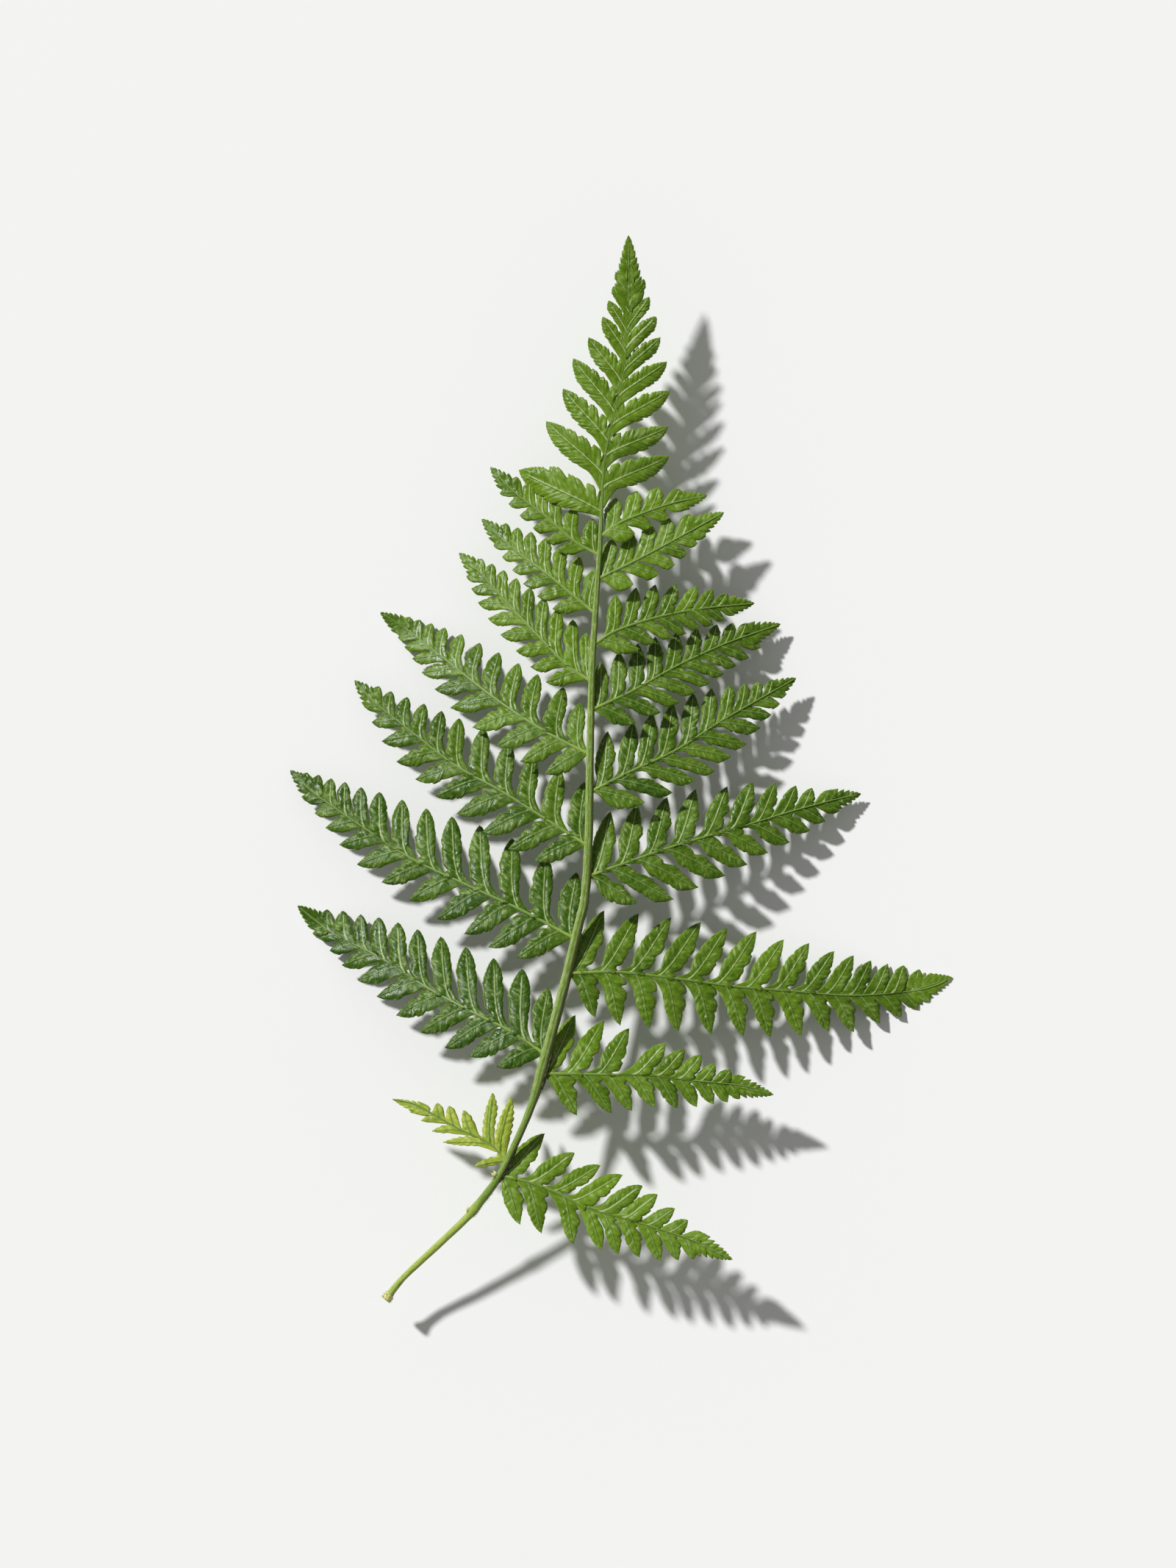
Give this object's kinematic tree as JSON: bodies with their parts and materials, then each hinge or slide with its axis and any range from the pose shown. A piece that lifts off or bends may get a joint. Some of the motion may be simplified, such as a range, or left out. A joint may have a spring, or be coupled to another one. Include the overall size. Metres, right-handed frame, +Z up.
{
  "type": "fern frond",
  "caption": "Cut fern frond lying face up: curved stalk, toothed leaflets on drooping pinnae, lobed pointed top and a young side pinna.",
  "frame": {"origin": "middle of the frond's box in plan, on the surface it lies on", "axes": "+Y towards the pointed top of the frond, +X to its right as seen from above, +Z up off the surface"},
  "size_m": [0.1334, 0.214, 0.0184],
  "materials": {
    "leaf_green": "semi-gloss fresh leaf, paler ribs and a yellow-green stalk",
    "young_green": "satin young leaf with green midribs"
  },
  "bodies": {
    "root": {"frond": "leaf_green", "young_pinna": "young_green"}
  },
  "joints": []
}
